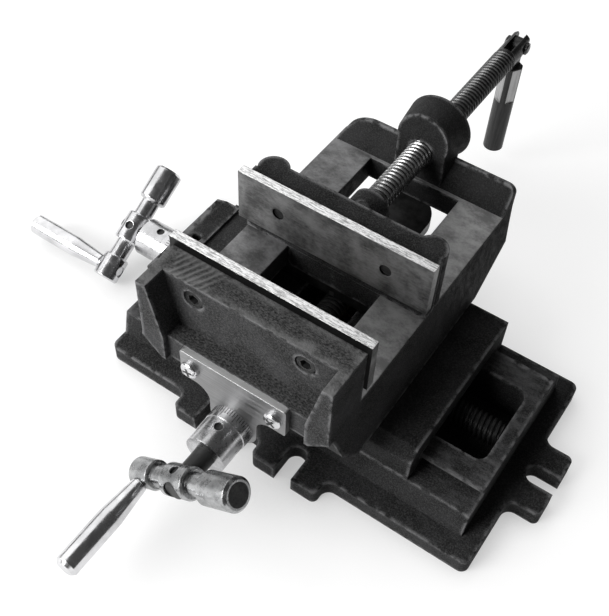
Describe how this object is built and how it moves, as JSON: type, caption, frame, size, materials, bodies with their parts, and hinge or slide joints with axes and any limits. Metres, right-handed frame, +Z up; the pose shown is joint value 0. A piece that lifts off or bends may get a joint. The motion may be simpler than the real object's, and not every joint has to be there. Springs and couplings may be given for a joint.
{
  "type": "cross slide vise",
  "caption": "Cast-iron cross slide vise with crossed dovetail slides, crank-driven lead screws with dials, and a screw-closed movable jaw, for a drill press table.",
  "frame": {"origin": "on the underside of the base, midway between the clamping slots", "axes": "+X along the jaws, +Y from the fixed jaw to the clamp screw's handle, +Z up"},
  "size_m": [0.3063, 0.3516, 0.1077],
  "materials": {
    "iron": "dark cast skin with ground slideways",
    "bronze": "machined bronze",
    "jaw_steel": "surface ground",
    "chrome": "bright plating",
    "steel": "turned steel",
    "black_steel": "oiled black oxide",
    "fastener": "black oxide"
  },
  "bodies": {
    "base": {"base_casting": "iron", "x_nut": "bronze", "x_nut_screws": "fastener"},
    "saddle": {"saddle_casting": "iron", "x_gib": "steel", "x_gib_screws": "fastener", "x_bearing_plate": "chrome", "x_plate_screws": "chrome", "y_nut": "bronze", "y_nut_screws": "fastener"},
    "x_screw": {"x_lead_screw": "steel", "x_dial": "chrome", "x_dial_setscrew": "fastener", "x_crank_arm": "chrome", "x_crank_handle": "chrome", "x_crank_pin": "steel"},
    "vise_body": {"vise_body": "iron", "fixed_jaw_plate": "jaw_steel", "fixed_jaw_screws": "fastener", "y_gib": "steel", "y_gib_screws": "fastener", "y_bearing_plate": "chrome", "y_plate_screws": "chrome"},
    "y_screw": {"y_lead_screw": "steel", "y_dial": "chrome", "y_dial_setscrew": "fastener", "y_crank_arm": "chrome", "y_crank_handle": "chrome", "y_crank_pin": "steel"},
    "movable_jaw": {"movable_jaw": "iron", "movable_jaw_plate": "jaw_steel", "movable_jaw_screws": "fastener", "keeper_plate": "black_steel", "keeper_screws": "fastener", "screw_retainer": "fastener"},
    "clamp_screw": {"clamp_screw": "black_steel", "handle_pin": "steel"},
    "clamp_handle": {"clamp_handle": "steel"}
  },
  "joints": [
    {"name": "x_slide", "type": "slide", "parent": "base", "child": "saddle", "axis": [1, 0, 0], "range_m": [-0.07, 0]},
    {"name": "x_screw_spin", "type": "hinge", "parent": "saddle", "child": "x_screw", "pos_m": [0, 0, 0.021], "axis": [1, 0, 0], "range_deg": [-5400, 360]},
    {"name": "y_slide", "type": "slide", "parent": "saddle", "child": "vise_body", "axis": [0, 1, 0], "range_m": [-0.045, 0.025]},
    {"name": "y_screw_spin", "type": "hinge", "parent": "vise_body", "child": "y_screw", "pos_m": [0, 0, 0.0395], "axis": [0, 1, 0], "range_deg": [-3600, 2160]},
    {"name": "jaw_slide", "type": "slide", "parent": "vise_body", "child": "movable_jaw", "axis": [0, 1, 0], "range_m": [-0.043, 0.04]},
    {"name": "clamp_spin", "type": "hinge", "parent": "movable_jaw", "child": "clamp_screw", "pos_m": [0, 0, 0.0863], "axis": [0, 1, 0], "range_deg": [-6480, 6120]},
    {"name": "clamp_handle_swing", "type": "hinge", "parent": "clamp_screw", "child": "clamp_handle", "pos_m": [0, 0.1813, 0.0863], "axis": [1, 0, 0], "range_deg": [-40, 220]}
  ],
  "couplings": [
    {"joint": "x_screw_spin", "follows": "x_slide", "rad_per_m": 1256.6},
    {"joint": "y_screw_spin", "follows": "y_slide", "rad_per_m": 1256.6},
    {"joint": "clamp_spin", "follows": "jaw_slide", "rad_per_m": 2513.3}
  ]
}
